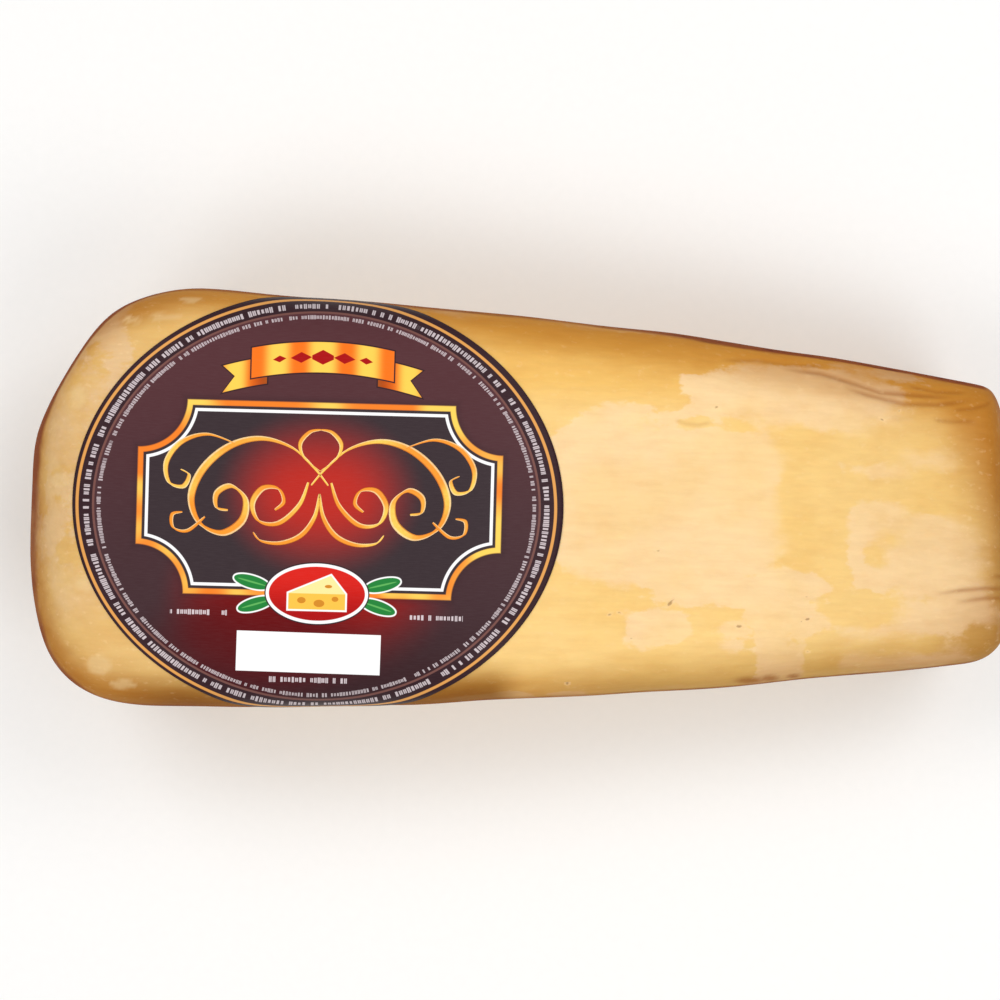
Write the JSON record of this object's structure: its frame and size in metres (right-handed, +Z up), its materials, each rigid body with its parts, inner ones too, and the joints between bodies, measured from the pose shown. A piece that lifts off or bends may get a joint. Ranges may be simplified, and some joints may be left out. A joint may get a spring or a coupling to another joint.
{
  "type": "provolone cheese loaf",
  "caption": "Whole provolone: a long, tapering, square-shouldered loaf of smooth golden rind, lying flat, with an oval paper label wrapped over its broad face.",
  "frame": {"origin": "under the middle of the loaf, on the surface it lies on", "axes": "+X from the wide end to the narrow end, +Z up through the label, +Y to the side with the straighter corner"},
  "size_m": [0.3702, 0.1532, 0.1232],
  "materials": {
    "rind": "smooth waxy cheese rind, cream and ochre, browner towards the edges, softly glossy",
    "label_paper": "coated paper label, dark wine red print with gold rings"
  },
  "bodies": {
    "root": {"cheese": "rind", "label": "label_paper"}
  },
  "joints": []
}
